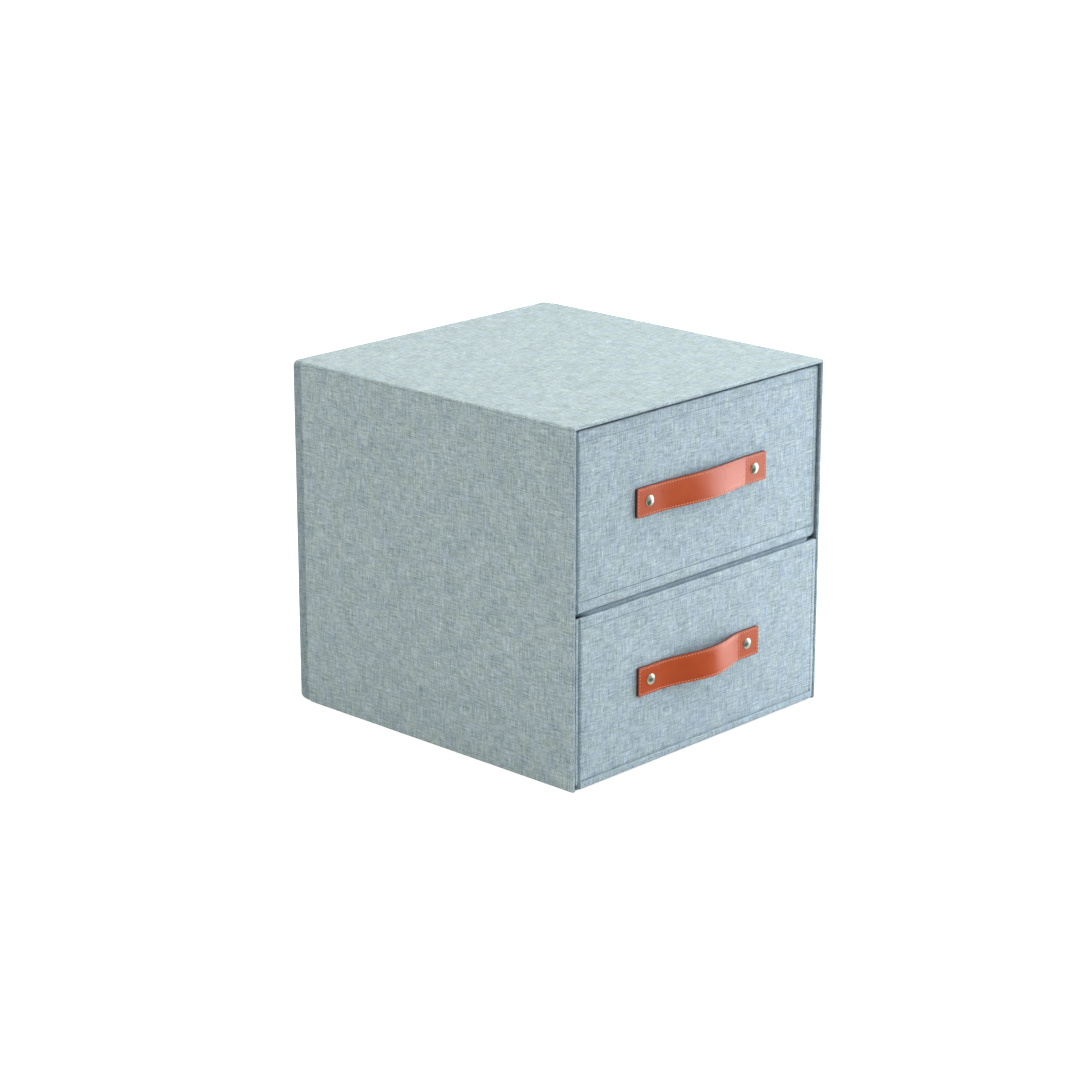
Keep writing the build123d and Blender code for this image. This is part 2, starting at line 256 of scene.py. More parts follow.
# ---- materials -------------------------------------------------------------------------------
def woven_cloth(name, light, dark, pitch, contrast, depth, sheen):
    """A plain weave of slubby yarn: light and dark yarns cross, thick places run along them."""
    shader = Shader(name)
    u, v = shader.uv()
    across_u = shader.math("DIVIDE", u, pitch)
    across_v = shader.math("DIVIDE", v, pitch)
    cell_u = shader.math("FLOOR", across_u)
    cell_v = shader.math("FLOOR", across_v)
    over = shader.math("MODULO", shader.math("ABSOLUTE", shader.plus(cell_u, cell_v)), 2.0)
    under = shader.minus(1.0, over)
    round_u = shader.math("SINE", shader.times(shader.math("FRACT", across_u), math.pi))
    round_v = shader.math("SINE", shader.times(shader.math("FRACT", across_v), math.pi))
    warp = shader.times(round_u, shader.scaled(round_v, YARN_LOW, 1.0))
    weft = shader.times(round_v, shader.scaled(round_u, YARN_LOW, 1.0))
    relief = shader.plus(shader.times(warp, under), shader.times(weft, over))

    step_u = shader.times(cell_u, YARN_APART)
    step_v = shader.times(cell_v, YARN_APART)
    slow_u = shader.times(u, SLUB_RATE)
    slow_v = shader.times(v, SLUB_RATE)
    slub_u = shader.noise(shader.joined(step_u, slow_v), detail=4.0, roughness=0.7)
    slub_v = shader.noise(shader.joined(slow_u, step_v), detail=4.0, roughness=0.7)
    yarn = shader.plus(shader.times(slub_u, under), shader.times(slub_v, over))
    streak_u = shader.noise(
        shader.joined(shader.times(u, STREAK_RATE), shader.times(v, STREAK_LONG_RATE)),
        detail=3.0)
    streak_v = shader.noise(
        shader.joined(
            shader.times(u, STREAK_LONG_RATE), shader.times(v, STREAK_RATE), STREAK_SLICE),
        detail=3.0)
    streak = shader.minus(shader.plus(streak_u, streak_v), 1.0)
    cloud = shader.noise(shader.joined(u, v, CLOUD_SLICE), scale=CLOUD_RATE, detail=3.0)
    tone = shader.math("MULTIPLY_ADD", shader.minus(yarn, 0.5), contrast, 0.5)
    tone = shader.plus(tone, shader.times(streak, 0.5 * contrast))
    tone = shader.plus(tone, shader.scaled(cloud, -CLOUD_TONE, CLOUD_TONE))
    colour = shader.mix(shader.clamped(tone), dark, light)

    patch = shader.noise(
        shader.joined(u, v, PATCH_SLICE), scale=PATCH_RATE, detail=3.0, roughness=0.6)
    heather = shader.mix(shader.clamped(shader.scaled(patch, -1.0, 2.0)), WARM_YARN, COOL_YARN)
    colour = shader.node(
        "ShaderNodeVectorMath", {0: colour, 1: heather}, operation="MULTIPLY").outputs[0]
    # painted shade between the yarns and painted light on their tops
    shadowed = shader.scaled(relief, GROOVE_SHADE, RIDGE_HIGHLIGHT)
    colour = shader.node(
        "ShaderNodeVectorMath", {0: colour, "Scale": shadowed}, operation="SCALE").outputs[0]
    shader.put(shader.bsdf.inputs["Base Color"], colour)
    shader.bsdf.inputs["Roughness"].default_value = 0.92
    shader.bsdf.inputs["Sheen Weight"].default_value = sheen
    shader.bsdf.inputs["Sheen Roughness"].default_value = 0.45
    shader.bsdf.inputs["Specular IOR Level"].default_value = 0.2
    height = shader.plus(relief, shader.times(yarn, 0.9))
    shader.put(shader.bsdf.inputs["Normal"], shader.bump(height, depth))
    return shader.material


def leather():
    """The straps' smooth, softly glossy leather, with fine pores."""
    shader = Shader("leather")
    u, v = shader.uv()
    place = shader.joined(u, v)
    pores = shader.noise(place, scale=1700.0, detail=3.0, roughness=0.6)
    cloud = shader.noise(place, scale=70.0, detail=1.0)
    colour = shader.mix(cloud, srgb(174, 69, 26), srgb(188, 79, 33))
    shader.put(shader.bsdf.inputs["Base Color"], colour)
    shader.put(shader.bsdf.inputs["Roughness"], shader.scaled(cloud, 0.24, 0.34))
    shader.bsdf.inputs["Specular IOR Level"].default_value = 0.28
    shader.put(shader.bsdf.inputs["Normal"], shader.bump(pores, 0.05 * MM))
    return shader.material


def dark_leather(name, dark, light):
    """Dark, fibrous leather: the cut sides' own colour, and painted shade in the stitch channels.
    """
    shader = Shader(name)
    u, v = shader.uv()
    fibres = shader.noise(shader.joined(u, v), scale=3000.0, detail=3.0)
    shader.put(shader.bsdf.inputs["Base Color"], shader.mix(fibres, dark, light))
    shader.bsdf.inputs["Roughness"].default_value = 0.6
    shader.put(shader.bsdf.inputs["Normal"], shader.bump(fibres, 0.08 * MM))
    return shader.material


def thread(name, colour):
    """Twisted thread."""
    shader = Shader(name)
    u, v = shader.uv()
    twist = shader.node(
        "ShaderNodeTexWave", {"Vector": shader.joined(u, v), "Scale": 900.0},
        bands_direction="DIAGONAL")
    shader.bsdf.inputs["Base Color"].default_value = colour
    shader.bsdf.inputs["Roughness"].default_value = 0.7
    shader.bsdf.inputs["Sheen Weight"].default_value = 0.2
    shader.put(shader.bsdf.inputs["Normal"], shader.bump(twist.outputs["Fac"], 0.05 * MM))
    return shader.material


def nickel():
    """The rivets' metal, lightly scuffed."""
    shader = Shader("nickel")
    place = shader.node("ShaderNodeTexCoord").outputs["Object"]
    scuffs = shader.noise(place, scale=1500.0, detail=4.0)
    shader.bsdf.inputs["Base Color"].default_value = srgb(150, 156, 142)
    shader.bsdf.inputs["Metallic"].default_value = 1.0
    shader.put(shader.bsdf.inputs["Roughness"], shader.scaled(scuffs, 0.24, 0.36))
    return shader.material


def grey_board():
    """The boards, where no cloth hides them."""
    shader = Shader("grey_board")
    place = shader.node("ShaderNodeTexCoord").outputs["Object"]
    fibres = shader.noise(place, scale=900.0, detail=4.0)
    colour = shader.mix(fibres, srgb(120, 116, 108), srgb(156, 151, 141))
    shader.put(shader.bsdf.inputs["Base Color"], colour)
    shader.bsdf.inputs["Roughness"].default_value = 0.9
    return shader.material


LINEN_WEAVE = {"pitch": THREAD_PITCH, "contrast": 1.6, "depth": 0.2 * MM, "sheen": 0.3}
LINEN_CLOTH = woven_cloth("linen", srgb(228, 243, 248), srgb(92, 119, 136), **LINEN_WEAVE)
# painted shade: the linen turned in round the mouth, the foot seams' grooves and the faces' right
# edges
SHADE_LINEN = woven_cloth("shade_linen", srgb(166, 186, 194), srgb(84, 108, 122), **LINEN_WEAVE)
# painted shade, darker still: the faces' left edges, and the shelf between the drawers
DEEP_SHADE_LINEN = woven_cloth("deep_shade_linen", srgb(156, 177, 190), srgb(78, 100, 114), **LINEN_WEAVE)
# painted shade: the case's sides near the back edges
BACK_SHADE_LINEN = woven_cloth(
    "back_shade_linen", srgb(190, 210, 216), srgb(74, 101, 118), **LINEN_WEAVE)
LINING_CLOTH = woven_cloth(
    "lining", srgb(204, 219, 225), srgb(132, 155, 168),
    pitch=LINING_PITCH, contrast=1.3, depth=0.12 * MM, sheen=0.2)
LEATHER = leather()
LEATHER_EDGE = dark_leather("dark_leather", srgb(44, 20, 16), srgb(78, 36, 27))
# painted shade: darker leather on the floors of the stitch channels
CHANNEL_SHADE_LEATHER = dark_leather("channel_shade_leather", srgb(96, 38, 20), srgb(128, 54, 28))
STRAP_THREAD = thread("strap_thread", srgb(236, 152, 108))
LINEN_THREAD = thread("linen_thread", srgb(112, 136, 150))
NICKEL = nickel()
BOARD = grey_board()


# ---- mesh helpers ----------------------------------------------------------------------------
def spaced(low, high, step):
    """Evenly spaced places from low to high, about step apart."""
    count = max(1, round((high - low) / step))
    return [low + (high - low) * i / count for i in range(count + 1)]


def arc(count):
    """Angles that part a quarter turn."""
    return [math.pi / 2 * i / count for i in range(count + 1)]


def full_turn(count):
    """Angles that part a full turn."""
    return [2 * math.pi * i / count for i in range(count)]


def eased(k):
    """A 0 to 1 value that starts and stops softly."""
    return k * k * (3 - 2 * k)


def box_uv(mesh):
    """Gives each face u and v in metres, along the two axes that it faces least."""
    layer = mesh.uv_layers.new(name="UVMap")
    for face in mesh.polygons:
        n = face.normal
        size = (abs(n.x), abs(n.y), abs(n.z))
        for loop in face.loop_indices:
            place = mesh.vertices[mesh.loops[loop].vertex_index].co
            if size[2] >= size[0] and size[2] >= size[1]:
                layer.data[loop].uv = (place.x, place.y)
            elif size[0] >= size[1]:
                layer.data[loop].uv = (place.y, place.z)
            else:
                layer.data[loop].uv = (place.x, place.z)


def made(name, points, faces, materials, body, nodes=(), sharp=50.0):
    """A finished piece: a mesh with real-size UVs, smooth but for sharp edges, on a CAD body."""
    mesh = bpy.data.meshes.new(name)
    mesh.from_pydata(points, [], faces)
    mesh.validate()
    mesh.update()
    for face in mesh.polygons:
        face.use_smooth = True
    mesh.set_sharp_from_angle(angle=math.radians(sharp))
    box_uv(mesh)
    for material in materials:
        mesh.materials.append(material)
    obj = bpy.data.objects.new(name, mesh)
    bpy.context.scene.collection.objects.link(obj)
    if nodes:
        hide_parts(*nodes)
    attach(obj, body)
    return obj


def loft(rings, cap_first=False, cap_last=False):
    """Points and quads through closed rings of equal length."""
    size = len(rings[0])
    points = [point for ring in rings for point in ring]
    faces = []
    for r in range(len(rings) - 1):
        for i in range(size):
            j = (i + 1) % size
            a, b = r * size, (r + 1) * size
            faces.append((a + i, a + j, b + j, b + i))
    if cap_first:
        faces.append(tuple(reversed(range(size))))
    if cap_last:
        faces.append(tuple(range((len(rings) - 1) * size, len(rings) * size)))
    return points, faces


def add(points, faces, more_points, more_faces):
    """Adds a mesh's points and faces to another's."""
    faces.extend(tuple(len(points) + i for i in face) for face in more_faces)
    points.extend(more_points)


def rounded_ring(low, high, radii, steps, corner_steps=6, ends=()):
    """A rounded rectangle as (a, b) pairs, anticlockwise from low b at low a.

    radii has one value for each corner, in that order, and steps the counts of the two straight
    stretches. ends are more places on each stretch, as distances from both its ends.
    """
    turns = ((math.pi, 0, 0), (1.5 * math.pi, 1, 0), (0, 1, 1), (math.pi / 2, 0, 1))
    corners = []
    for (start, right, top), radius in zip(turns, radii):
        a = high[0] - radius if right else low[0] + radius
        b = high[1] - radius if top else low[1] + radius
        corners.append([
            (a + radius * math.cos(start + t), b + radius * math.sin(start + t))
            for t in arc(corner_steps)])
    ring = []
    for index, corner in enumerate(corners):
        ring += corner
        end = corner[-1]
        begin = corners[(index + 1) % 4][0]
        length = math.dist(end, begin)
        near = [d / length for d in ends]
        last = max(near, default=0)
        count = steps[index % 2]
        inner = [i / count for i in range(1, count) if last < i / count < 1 - last]
        for k in near + inner + [1 - d for d in reversed(near)]:
            ring.append((end[0] + (begin[0] - end[0]) * k, end[1] + (begin[1] - end[1]) * k))
    return ring


def cloth_swell(place, reach, size):
    """How far cloth stands off its board at a place: 0 to reach, in soft swells."""
    return reach * (0.5 + 0.5 * noise.noise(place / size))


def swell(obj, reach, size):
    """Lifts a piece's points off along their normals in soft swells."""
    mesh = obj.data
    moved = [v.co + v.normal * cloth_swell(v.co, reach, size) for v in mesh.vertices]
    for vertex, place in zip(mesh.vertices, moved):
        vertex.co = place


def dip(distance, width, depth):
    """A soft groove's depth at a distance from its middle."""
    k = abs(distance) / width
    return depth * (0.5 + 0.5 * math.cos(math.pi * k)) if k < 1 else 0.0


def add_stitch(points, faces, middle, along, out, length, width):
    """A stitch: a short thread, thick in its middle and sunk at both ends."""
    across = along.cross(out).normalized()
    rings = []
    for k, girth in ((-0.5, 0.45), (-0.36, 0.8), (-0.15, 1), (0.15, 1), (0.36, 0.8), (0.5, 0.45)):
        sink = width * 0.45 * (2 * abs(k)) ** 3
        rings.append([
            middle + along * (length * k) - out * sink
            + (across * math.cos(t) + out * math.sin(t)) * (width / 2 * girth)
            for t in full_turn(STITCH_SIDES)])
    add(points, faces, *loft(rings, cap_first=True, cap_last=True))


def stitch_row(points, faces, line, pitch, length, width):
    """Stitches along a line: a function from 0 to 1 to (place, outward direction)."""
    samples = [line(i / LINE_SAMPLES)[0] for i in range(LINE_SAMPLES + 1)]
    total = sum((end - start).length for start, end in zip(samples, samples[1:]))
    count = max(1, round(total / pitch))
    for i in range(count):
        k = (i + 0.5) / count
        place, out = line(k)
        ahead, _ = line(min(k + LINE_NUDGE, 1.0))
        behind, _ = line(max(k - LINE_NUDGE, 0.0))
        add_stitch(points, faces, place, (ahead - behind).normalized(), out, length, width)


# ---- case ------------------------------------------------------------------------------------
def case_ring(y, inset):
    """The case's section, with the crease that runs along both sides just under the top."""
    near_back = min(max((y - CASE_HI.y + CORNER_REACH) / (CORNER_REACH - CASE_R), 0), 1)
    outer = LONG_R + (CASE_R - LONG_R) * eased(near_back)
    radius = max(outer - inset, CASE_TIGHTEST_R)
    low = (CASE_LO.x + inset, CASE_LO.z + inset)
    high = (CASE_HI.x - inset, CASE_HI.z - inset)
    creased = [k * TOP_CREASE for k in (0.4, 0.7, 1.0, 1.3, 1.6, 2.2)]
    ring = rounded_ring(low, high, (radius,) * 4, CASE_CELLS, ends=creased)
    points = []
    for a, b in ring:
        drop = CASE_HI.z - outer - b - TOP_CREASE
        side = 1 if a < 0 else -1
        if b < high[1] - radius and min(a - low[0], high[0] - a) < TUCK:
            a += side * dip(drop, 0.7 * TOP_CREASE, TOP_CREASE_DEPTH)
        points.append(Vector((a, y, b)))
    return points


def case_wrap():
    """The case's linen: round every outer edge and in round the mouth, to the lining."""
    front, back = CASE_LO.y, CASE_HI.y
    path = [(back, inset) for inset in END_INSETS]
    path += [(back - CASE_R * (1 - math.cos(t)), CASE_R * (1 - math.sin(t))) for t in arc(8)]
    creases = {
        front + CASE_CREASE_FRONT: CREASE_DEPTH,
        back - CASE_CREASE_BACK: BACK_CREASE_DEPTH}
    marks = set(spaced(back - CASE_R, front + MOUTH_R, -CASE_STEP)[1:-1])
    for crease in creases:
        marks = {y for y in marks if abs(y - crease) > 1.2 * CREASE_W}
        marks |= {crease + k * CREASE_W for k in (-1, -0.5, 0, 0.5, 1)}
    for y in sorted(marks, reverse=True):
        sunk = sum(dip(y - crease, CREASE_W, depth) for crease, depth in creases.items())
        path.append((y, sunk))
    path += [(front + MOUTH_R * (1 - math.sin(t)), MOUTH_R * (1 - math.cos(t))) for t in arc(7)]
    inner = MOUTH_WALL - MOUTH_R
    path += [
        (front + inner * (1 - math.cos(t)), MOUTH_WALL - inner * (1 - math.sin(t)))
        for t in arc(5)[1:]]
    turned_in = len(path) - 1
    path += [
        (front + MOUTH_DEPTH * k, MOUTH_WALL + (WALL - MOUTH_WALL) * eased(k))
        for k in (0.3, 0.45, 0.6, 0.75, 0.9)]
    path += [(y, WALL) for y in spaced(front + MOUTH_DEPTH, LINING_FRONT, HEM_STEP)]
    deep = LINING_INSET - TUCK
    path += [(LINING_FRONT + TUCK, deep), (back - deep, deep)]
    points, faces = loft([case_ring(y, inset) for y, inset in path], cap_first=True, cap_last=True)
    for point in points:
        if point.z < WALL + TUCK and abs(point.x) < CASE_W / 2 - WALL:
            point.y = max(point.y, front + LIP_SETBACK)
    wrap = made(
        "case_cloth", points, faces, [LINEN_CLOTH, SHADE_LINEN, BACK_SHADE_LINEN],
        "case", ["case_linen_wrap"])
    ring = len(points) // len(path)
    # Painted shade: darker cloth on the linen turned in round the mouth, and on the sides near the
    # back edges.
    for face in wrap.data.polygons:
        if min(face.vertices) >= turned_in * ring:
            face.material_index = 1
        elif face.center.y > back - BACK_SHADE and abs(face.normal.x) > 0.5:
            face.material_index = 2
    swell(wrap, CASE_SWELL, SWELL_SIZE)


def case_lining():
    """The case's inner cloth, from the hem inside the mouth to the back."""
    back = CASE_HI.y - WALL
    path = [(LINING_FRONT, LINING_INSET), (LINING_FRONT, WALL)]
    path += [(y, WALL) for y in spaced(LINING_FRONT, back, LINING_STEP)[1:]]
    path += [(back, WALL + inset) for inset in LINING_END_INSETS]
    points, faces = loft([case_ring(y, inset) for y, inset in path], cap_last=True)
    made("case_lining_cloth", points, faces, [LINING_CLOTH], "case", ["case_lining"])


def sheet(name, lo, hi, radii, bevel, material, node):
    """A flat cloth piece of the case: a rounded rectangle in plan with soft edges all round."""
    rings = []
    low = [(bevel - bevel * math.sin(t), lo.z + bevel - bevel * math.cos(t)) for t in arc(4)]
    high = [(bevel - bevel * math.cos(t), hi.z - bevel + bevel * math.sin(t)) for t in arc(4)]
    for inset, z in low + high:
        ring = rounded_ring(
            (lo.x + inset, lo.y + inset), (hi.x - inset, hi.y - inset),
            [max(radius - inset, SHEET_TIGHTEST_R) for radius in radii], SHEET_CELLS)
        rings.append([Vector((a, b, z)) for a, b in ring])
    points, faces = loft(rings, cap_first=True, cap_last=True)
    made(name, points, faces, [material], "case", [node])


case_wrap()
case_lining()
# The shelf's cloth is the darkest linen: painted shade in the recess between the drawers.
sheet("shelf_cloth", SHELF_LO - SHELF_ROLL, SHELF_HI,
      (SHELF_CORNER_R, SHELF_CORNER_R, SHEET_R, SHEET_R), SHELF_EDGE_R,
      DEEP_SHADE_LINEN, "shelf_linen_sleeve")
sheet("base_cloth", BASE_LO, BASE_HI, (SHEET_R,) * 4, BASE_EDGE_R,
      LINING_CLOTH, "case_base_cloth")


# ---- drawers ---------------------------------------------------------------------------------
def squeezed(a, b):
    """Moves a place in a unit square to the unit disc's quarter, corner to rim."""
    return a * math.sqrt(1 - b * b / 2), b * math.sqrt(1 - a * a / 2)


def front_marks(low, high, seams):
    """Places over a front in one direction: close together at both ends and at the seams."""
    near = [k * FACE_R for k in (0, 0.03, 0.12, 0.3, 0.6, 1, 2)]
    marks = [low + d for d in near] + [high - d for d in near]
    for seam in seams:
        marks += [seam + k * SEAM_W for k in (-1, -0.6, -0.3, 0, 0.3, 0.6, 1)]
    for place in spaced(low + 3 * FACE_R, high - 3 * FACE_R, FACE_STEP):
        if all(abs(place - seam) > 1.5 * SEAM_W for seam in seams):
            marks.append(place)
    return sorted(marks)


def front_cloth(prefix, lo, hi, seam_foot, foot_depth, hem_puff, seam_shade):
    """A drawer's front: soft rounded edges, a stitched seam all round and a puffed hem below it."""
    lo = lo + Vector((FACE_GAP, 0, 0))
    hi = hi - Vector((FACE_GAP, 0, 0))
    seams_x = (lo.x + SEAM_SIDE, hi.x - SEAM_SIDE)
    seams_z = (lo.z + seam_foot, hi.z - SEAM_TOP)
    xs = front_marks(lo.x, hi.x, seams_x)
    zs = front_marks(lo.z, hi.z, seams_z)
    front = lo.y

    def seat(x, z, depth):
        """A place on the face: pillowed to its sides, softly swelling, and sunk by depth."""
        edge = min(x - lo.x, hi.x - x, hi.z - z, z - lo.z)
        fall = PILLOW * (1 - min((x - lo.x) / PILLOW_W, 1)) ** 2
        fall += PILLOW_RIGHT * (1 - min((hi.x - x) / PILLOW_W, 1)) ** 2
        puff = cloth_swell(Vector((x, front, z)), FACE_SWELL, FACE_SWELL_SIZE)
        puff *= min(edge / FACE_SWELL_FADE, 1)
        return Vector((x, front + depth + fall - puff, z))

    points = []
    for z in zs:
        for x in xs:
            place_x, place_z = x, z
            edge = min((x - lo.x) / 2, (hi.x - x) / 2, z - lo.z, hi.z - z)
            centre_x = min(max(x, lo.x + DRAWER_R), hi.x - DRAWER_R)
            a, b = (x - centre_x) / DRAWER_R, (lo.z + DRAWER_R - z) / DRAWER_R
            if b > 0 and a != 0:
                a, b = squeezed(a, b)
                place_x, place_z = centre_x + a * DRAWER_R, lo.z + DRAWER_R - b * DRAWER_R
                edge = DRAWER_R * (1 - math.hypot(a, b))
            near = max(FACE_R - max(edge, 0), 0)
            y = front + FACE_R - math.sqrt(FACE_R ** 2 - near ** 2)
            inside_x = seams_x[0] - SEAM_W < x < seams_x[1] + SEAM_W
            inside_z = seams_z[0] - SEAM_W < z < seams_z[1] + SEAM_W
            depth = 0.0
            if inside_z:
                depth = max(dip(x - seam, SEAM_W, SEAM_DEPTH) for seam in seams_x)
            if inside_x:
                depth = max(depth, dip(z - seams_z[0], SEAM_W, foot_depth))
                depth = max(depth, dip(z - seams_z[1], SEAM_W, SEAM_DEPTH))
            if z < seams_z[0]:
                puff = hem_puff * math.sin(math.pi * (z - lo.z) / seam_foot)
                depth -= puff * min(edge / FACE_R, 1)
            points.append(seat(place_x, place_z, y - front + depth))
    columns, rows = len(xs), len(zs)
    faces = []
    for r in range(rows - 1):
        for c in range(columns - 1):
            i = r * columns + c
            faces.append((i, i + 1, i + 1 + columns, i + columns))
    rim = list(range(columns))
    rim += [r * columns + columns - 1 for r in range(1, rows)]
    rim += [(rows - 1) * columns + c for c in range(columns - 2, -1, -1)]
    rim += [r * columns for r in range(rows - 2, 0, -1)]
    behind = len(points)
    points += [Vector((points[i].x, front + WALL - TUCK, points[i].z)) for i in rim]
    for k in range(len(rim)):
        j = (k + 1) % len(rim)
        faces.append((rim[j], rim[k], behind + k, behind + j))
    faces.append(tuple(range(behind, behind + len(rim))))
    face_cloth = made(
        prefix + "_front_cloth", points, faces, [LINEN_CLOTH, SHADE_LINEN, DEEP_SHADE_LINEN],
        prefix + "_drawer", [prefix + "_linen_cover"])
    # Painted shade: darker cloth in the foot seam's groove and along the face's right edge, and
    # darkest along its left edge.
    for face in face_cloth.data.polygons:
        x, _, z = face.center
        in_seam = seams_x[0] < x < seams_x[1] and abs(z - seams_z[0]) < seam_shade
        if in_seam or hi.x - x < EDGE_SHADE_RIGHT:
            face.material_index = 1
        if x - lo.x < EDGE_SHADE:
            face.material_index = 2

    def across(z, depth):
        return lambda k: (
            seat(seams_x[0] + (seams_x[1] - seams_x[0]) * k, z, depth - SEAM_LIFT), FORWARD)

    def upright(x):
        return lambda k: (
            seat(x, seams_z[0] + (seams_z[1] - seams_z[0]) * k, SEAM_DEPTH - SEAM_LIFT), FORWARD)

    points, faces = [], []
    lines = [across(seams_z[0], foot_depth), across(seams_z[1], SEAM_DEPTH)]
    lines += [upright(seams_x[0]), upright(seams_x[1])]
    for line in lines:
        stitch_row(points, faces, line, SEAM_PITCH, SEAM_STITCH, SEAM_THREAD)
    made(prefix + "_seam_thread", points, faces, [LINEN_THREAD], prefix + "_drawer")


def tub_ring(lo, hi, z, inset, front_inset):
    """A drawer's section in plan: sharp corners at the front, and rounded ones at the back."""
    radius = max(DRAWER_R - inset, TUB_TIGHTEST_R)
    ring = rounded_ring(
        (lo.x + inset, lo.y + front_inset), (hi.x - inset, hi.y - inset),
        (TUB_TIGHTEST_R, TUB_TIGHTEST_R, radius, radius), TUB_CELLS, corner_steps=5)
    return [Vector((a, b, z)) for a, b in ring]


def tub_cloth(prefix, lo, hi, lining_lo, lining_hi):
    """A drawer's other cloth: floor, sides and back, turned in over the rim to the lining."""
    floor = lining_lo.z - LINING_INSET
    path = [(floor, inset, inset) for inset in END_INSETS]
    for t in arc(7):
        z, inset = floor + DRAWER_R * (1 - math.cos(t)), DRAWER_R * (1 - math.sin(t))
        path.append((z, inset, BEHIND_FACE))
    path += [(z, 0, BEHIND_FACE) for z in spaced(floor + DRAWER_R, hi.z - RIM_R, TUB_STEP)[1:]]
    for t in arc(5):
        inset = RIM_R * (1 - math.cos(t))
        path.append((hi.z - RIM_R * (1 - math.sin(t)), inset, max(inset, BEHIND_FACE)))
    for t in arc(5):
        inset = WALL - RIM_R * (1 - math.sin(t))
        path.append((hi.z - RIM_R * (1 - math.cos(t)), inset, inset))
    hem, deep = lining_hi.z, LINING_INSET - TUCK
    path += [(hem, WALL, WALL), (hem - TUCK, deep, deep), (floor + deep, deep, deep)]
    rings = [tub_ring(lo, hi, z, inset, front_inset) for z, inset, front_inset in path]
    points, faces = loft(rings, cap_first=True, cap_last=True)
    tub = made(prefix + "_tub_cloth", points, faces, [LINEN_CLOTH], prefix + "_drawer",
               [prefix + "_linen_cover"])
    swell(tub, TUB_SWELL, SWELL_SIZE)


def tub_lining(prefix, lo, hi, lining_lo, lining_hi):
    """A drawer's inner cloth, from its hem to the floor."""
    floor = lining_lo.z - LINING_INSET + WALL
    path = [(lining_hi.z, LINING_INSET), (lining_hi.z, WALL), (floor, WALL)]
    path += [(floor, WALL + inset) for inset in LINING_END_INSETS]
    rings = [tub_ring(lo, hi, z, inset, inset) for z, inset in path]
    points, faces = loft(rings, cap_last=True)
    made(prefix + "_lining_cloth", points, faces, [LINING_CLOTH], prefix + "_drawer",
         [prefix + "_lining"])


for prefix, seam_foot, foot_depth, hem_puff, seam_shade in (
        ("upper", UPPER_SEAM_FOOT, 0.5 * MM, 0.35 * MM, 0.25 * MM),
        ("lower", LOWER_SEAM_FOOT, 1.1 * MM, 0.9 * MM, 0.55 * MM)):
    lo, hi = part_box(prefix + "_linen_cover")
    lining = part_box(prefix + "_lining")
    front_cloth(prefix, lo, hi, seam_foot, foot_depth, hem_puff, seam_shade)
    tub_cloth(prefix, lo, hi, *lining)
    tub_lining(prefix, lo, hi, *lining)


# ---- strap handles ---------------------------------------------------------------------------
class Strap:
    """Where a handle's leather runs.

    x goes along it, w over its width from its middle, and h off its back.
    """

    def __init__(self, prefix, crown, twist, soft):
        lo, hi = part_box(prefix + "_handle_strap")
        rivets_lo, rivets_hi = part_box(prefix + "_rivets")
        self.prefix = prefix
        self.body = prefix + "_drawer"
        self.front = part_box(prefix + "_handle_backing")[1].y
        self.left, self.right = lo.x, hi.x
        self.middle = Vector(((lo.x + hi.x) / 2, self.front, (lo.z + hi.z) / 2))
        self.width = hi.z - lo.z
        self.bow = self.front - lo.y - 2 * PLY
        self.rivets = (rivets_lo.x + CAP_R, rivets_hi.x - CAP_R)
        self.leave = (self.rivets[0] + STRAP_FLAT, self.rivets[1] - STRAP_FLAT)
        self.crown = self.middle.x + crown
        self.twist = twist
        self.soft = soft

    def stand_off(self, x, w):
        """How far the back face stands off the drawer, and its slope along x."""
        bow = self.bow * (1 - self.twist * (0.5 + w / self.width))
        if x <= self.leave[0] or x >= self.leave[1]:
            return 0.0, 0.0
        at_left = x < self.crown
        end, soft = (self.leave[0], LEFT_SOFT) if at_left else (self.leave[1], self.soft)
        reach = self.crown - end
        t = (self.crown - x) / reach
        off = soft * (0.5 + 0.5 * math.cos(math.pi * t)) + (1 - soft) * (1 - t * t)
        slope = (soft * 0.5 * math.pi * math.sin(math.pi * t) + (1 - soft) * 2 * t) / reach
        return bow * off, bow * slope

    def place(self, x, w, h):
        """The same place in the shared frame."""
        off, slope = self.stand_off(x, w)
        size = math.hypot(1, slope)
        return Vector((x - h * slope / size, self.front - off - h / size, self.middle.z + w))

    def half_width(self, x):
        """Half the strap's width at x: it has rounded corners."""
        near = min(x - self.left, self.right - x)
        if near >= STRAP_CORNER_R:
            return self.width / 2
        rounding = math.sqrt(STRAP_CORNER_R ** 2 - (STRAP_CORNER_R - near) ** 2)
        return self.width / 2 - STRAP_CORNER_R + rounding


def ply_section(half, low, high, channel):
    """A ply's section as (w, h, edge) from its lower back corner round.

    edge marks the cut sides, and the floors of the channels.
    """
    r = PLY_EDGE_R
    section = []
    for t in arc(3):
        section.append((-half + r - r * math.sin(t), low + r - r * math.cos(t), True))
    for t in arc(3):
        section.append((-half + r - r * math.cos(t), high - r + r * math.sin(t), t < math.pi / 4))
    inner = half - r
    marks = [-half + STITCH_INSET + k * CHANNEL_W for k in (-1, -0.5, 0, 0.5, 1)]
    marks += [inner * k for k in (-0.7, -0.4, 0, 0.4, 0.7)]
    marks += [half - STITCH_INSET + k * CHANNEL_W for k in (-1, -0.5, 0, 0.5, 1)]
    for w in marks:
        depth = dip(abs(w) - half + STITCH_INSET, CHANNEL_W, channel)
        section.append((w, high - depth, depth > 0.4 * channel and channel > 0))
    for t in arc(3):
        section.append((half - r + r * math.sin(t), high - r + r * math.cos(t), t > math.pi / 4))
    for t in arc(3):
        section.append((half - r + r * math.cos(t), low + r - r * math.sin(t), True))
    return section


